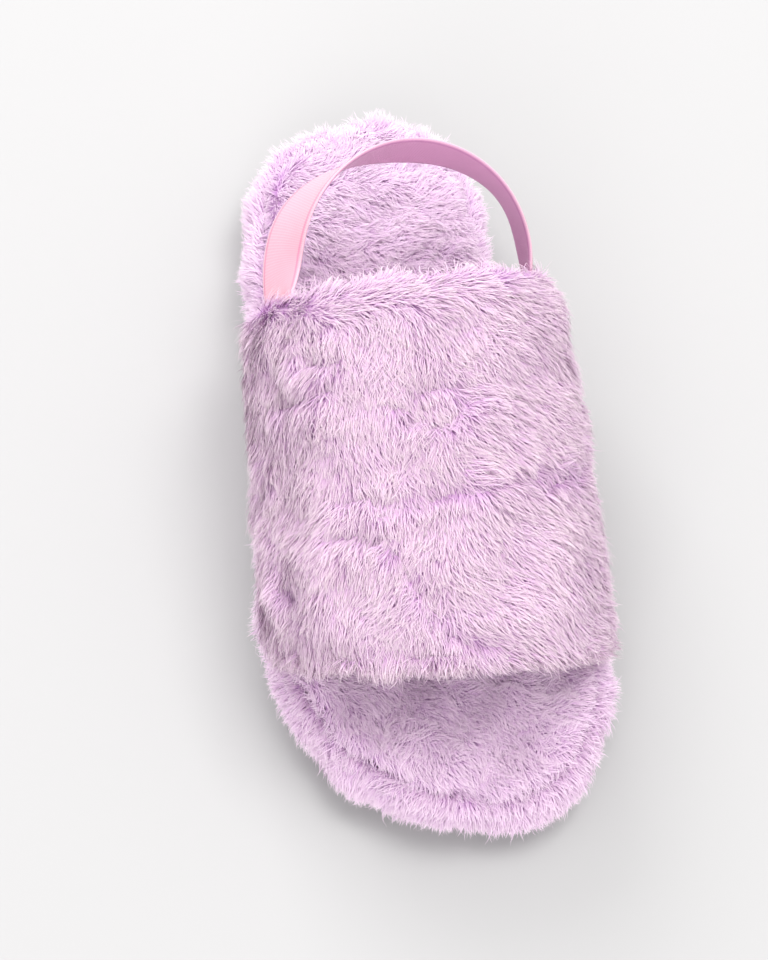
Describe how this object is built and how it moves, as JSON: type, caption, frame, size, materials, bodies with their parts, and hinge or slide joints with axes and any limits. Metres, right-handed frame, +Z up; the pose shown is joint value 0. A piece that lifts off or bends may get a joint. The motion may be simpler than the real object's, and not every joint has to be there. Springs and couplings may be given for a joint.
{
  "type": "fluffy house slipper",
  "caption": "Right-foot open-toe slipper: fur-covered platform and footbed, wide padded fur band over the foot, elastic sling strap behind, ribbed rubber sole.",
  "frame": {"origin": "middle of the tread, on the ground plane, at mid-length of the sole", "axes": "+X to the inner side of the foot (the big toe side), +Y to the heel, +Z up; the toe points to -Y"},
  "size_m": [0.1185, 0.2709, 0.1045],
  "materials": {
    "tread_rubber": "matte ribbed rubber",
    "moulded_foam": "closed-cell foam",
    "soft_foam": "open-cell foam",
    "lilac_fur": "long-pile knitted plush",
    "lining_cloth": "brushed knit",
    "elastic_web": "woven elastic with a darker inner face",
    "sewing_thread": "spun thread"
  },
  "bodies": {
    "slipper": {"outsole": "tread_rubber", "midsole": "moulded_foam", "side_band": "lilac_fur", "band_seam_thread": "sewing_thread", "footbed_foam": "soft_foam", "footbed_cover": "lilac_fur", "footbed_seam_thread": "sewing_thread", "vamp_fur": "lilac_fur", "vamp_foam": "soft_foam", "vamp_lining": "lining_cloth", "vamp_front_thread": "sewing_thread", "vamp_rear_thread": "sewing_thread", "strap_end_inner": "elastic_web", "strap_end_outer": "elastic_web", "strap_stitches_inner": "sewing_thread", "strap_stitches_outer": "sewing_thread"},
    "sling": {"sling_strap": "elastic_web"}
  },
  "joints": [
    {"name": "sling_strap_swing", "type": "hinge", "parent": "slipper", "child": "sling", "pos_m": [0, 0.0555, 0.064], "axis": [1, 0, 0], "range_deg": [-62, 45], "stiffness_Nm_per_rad": 0.06}
  ]
}
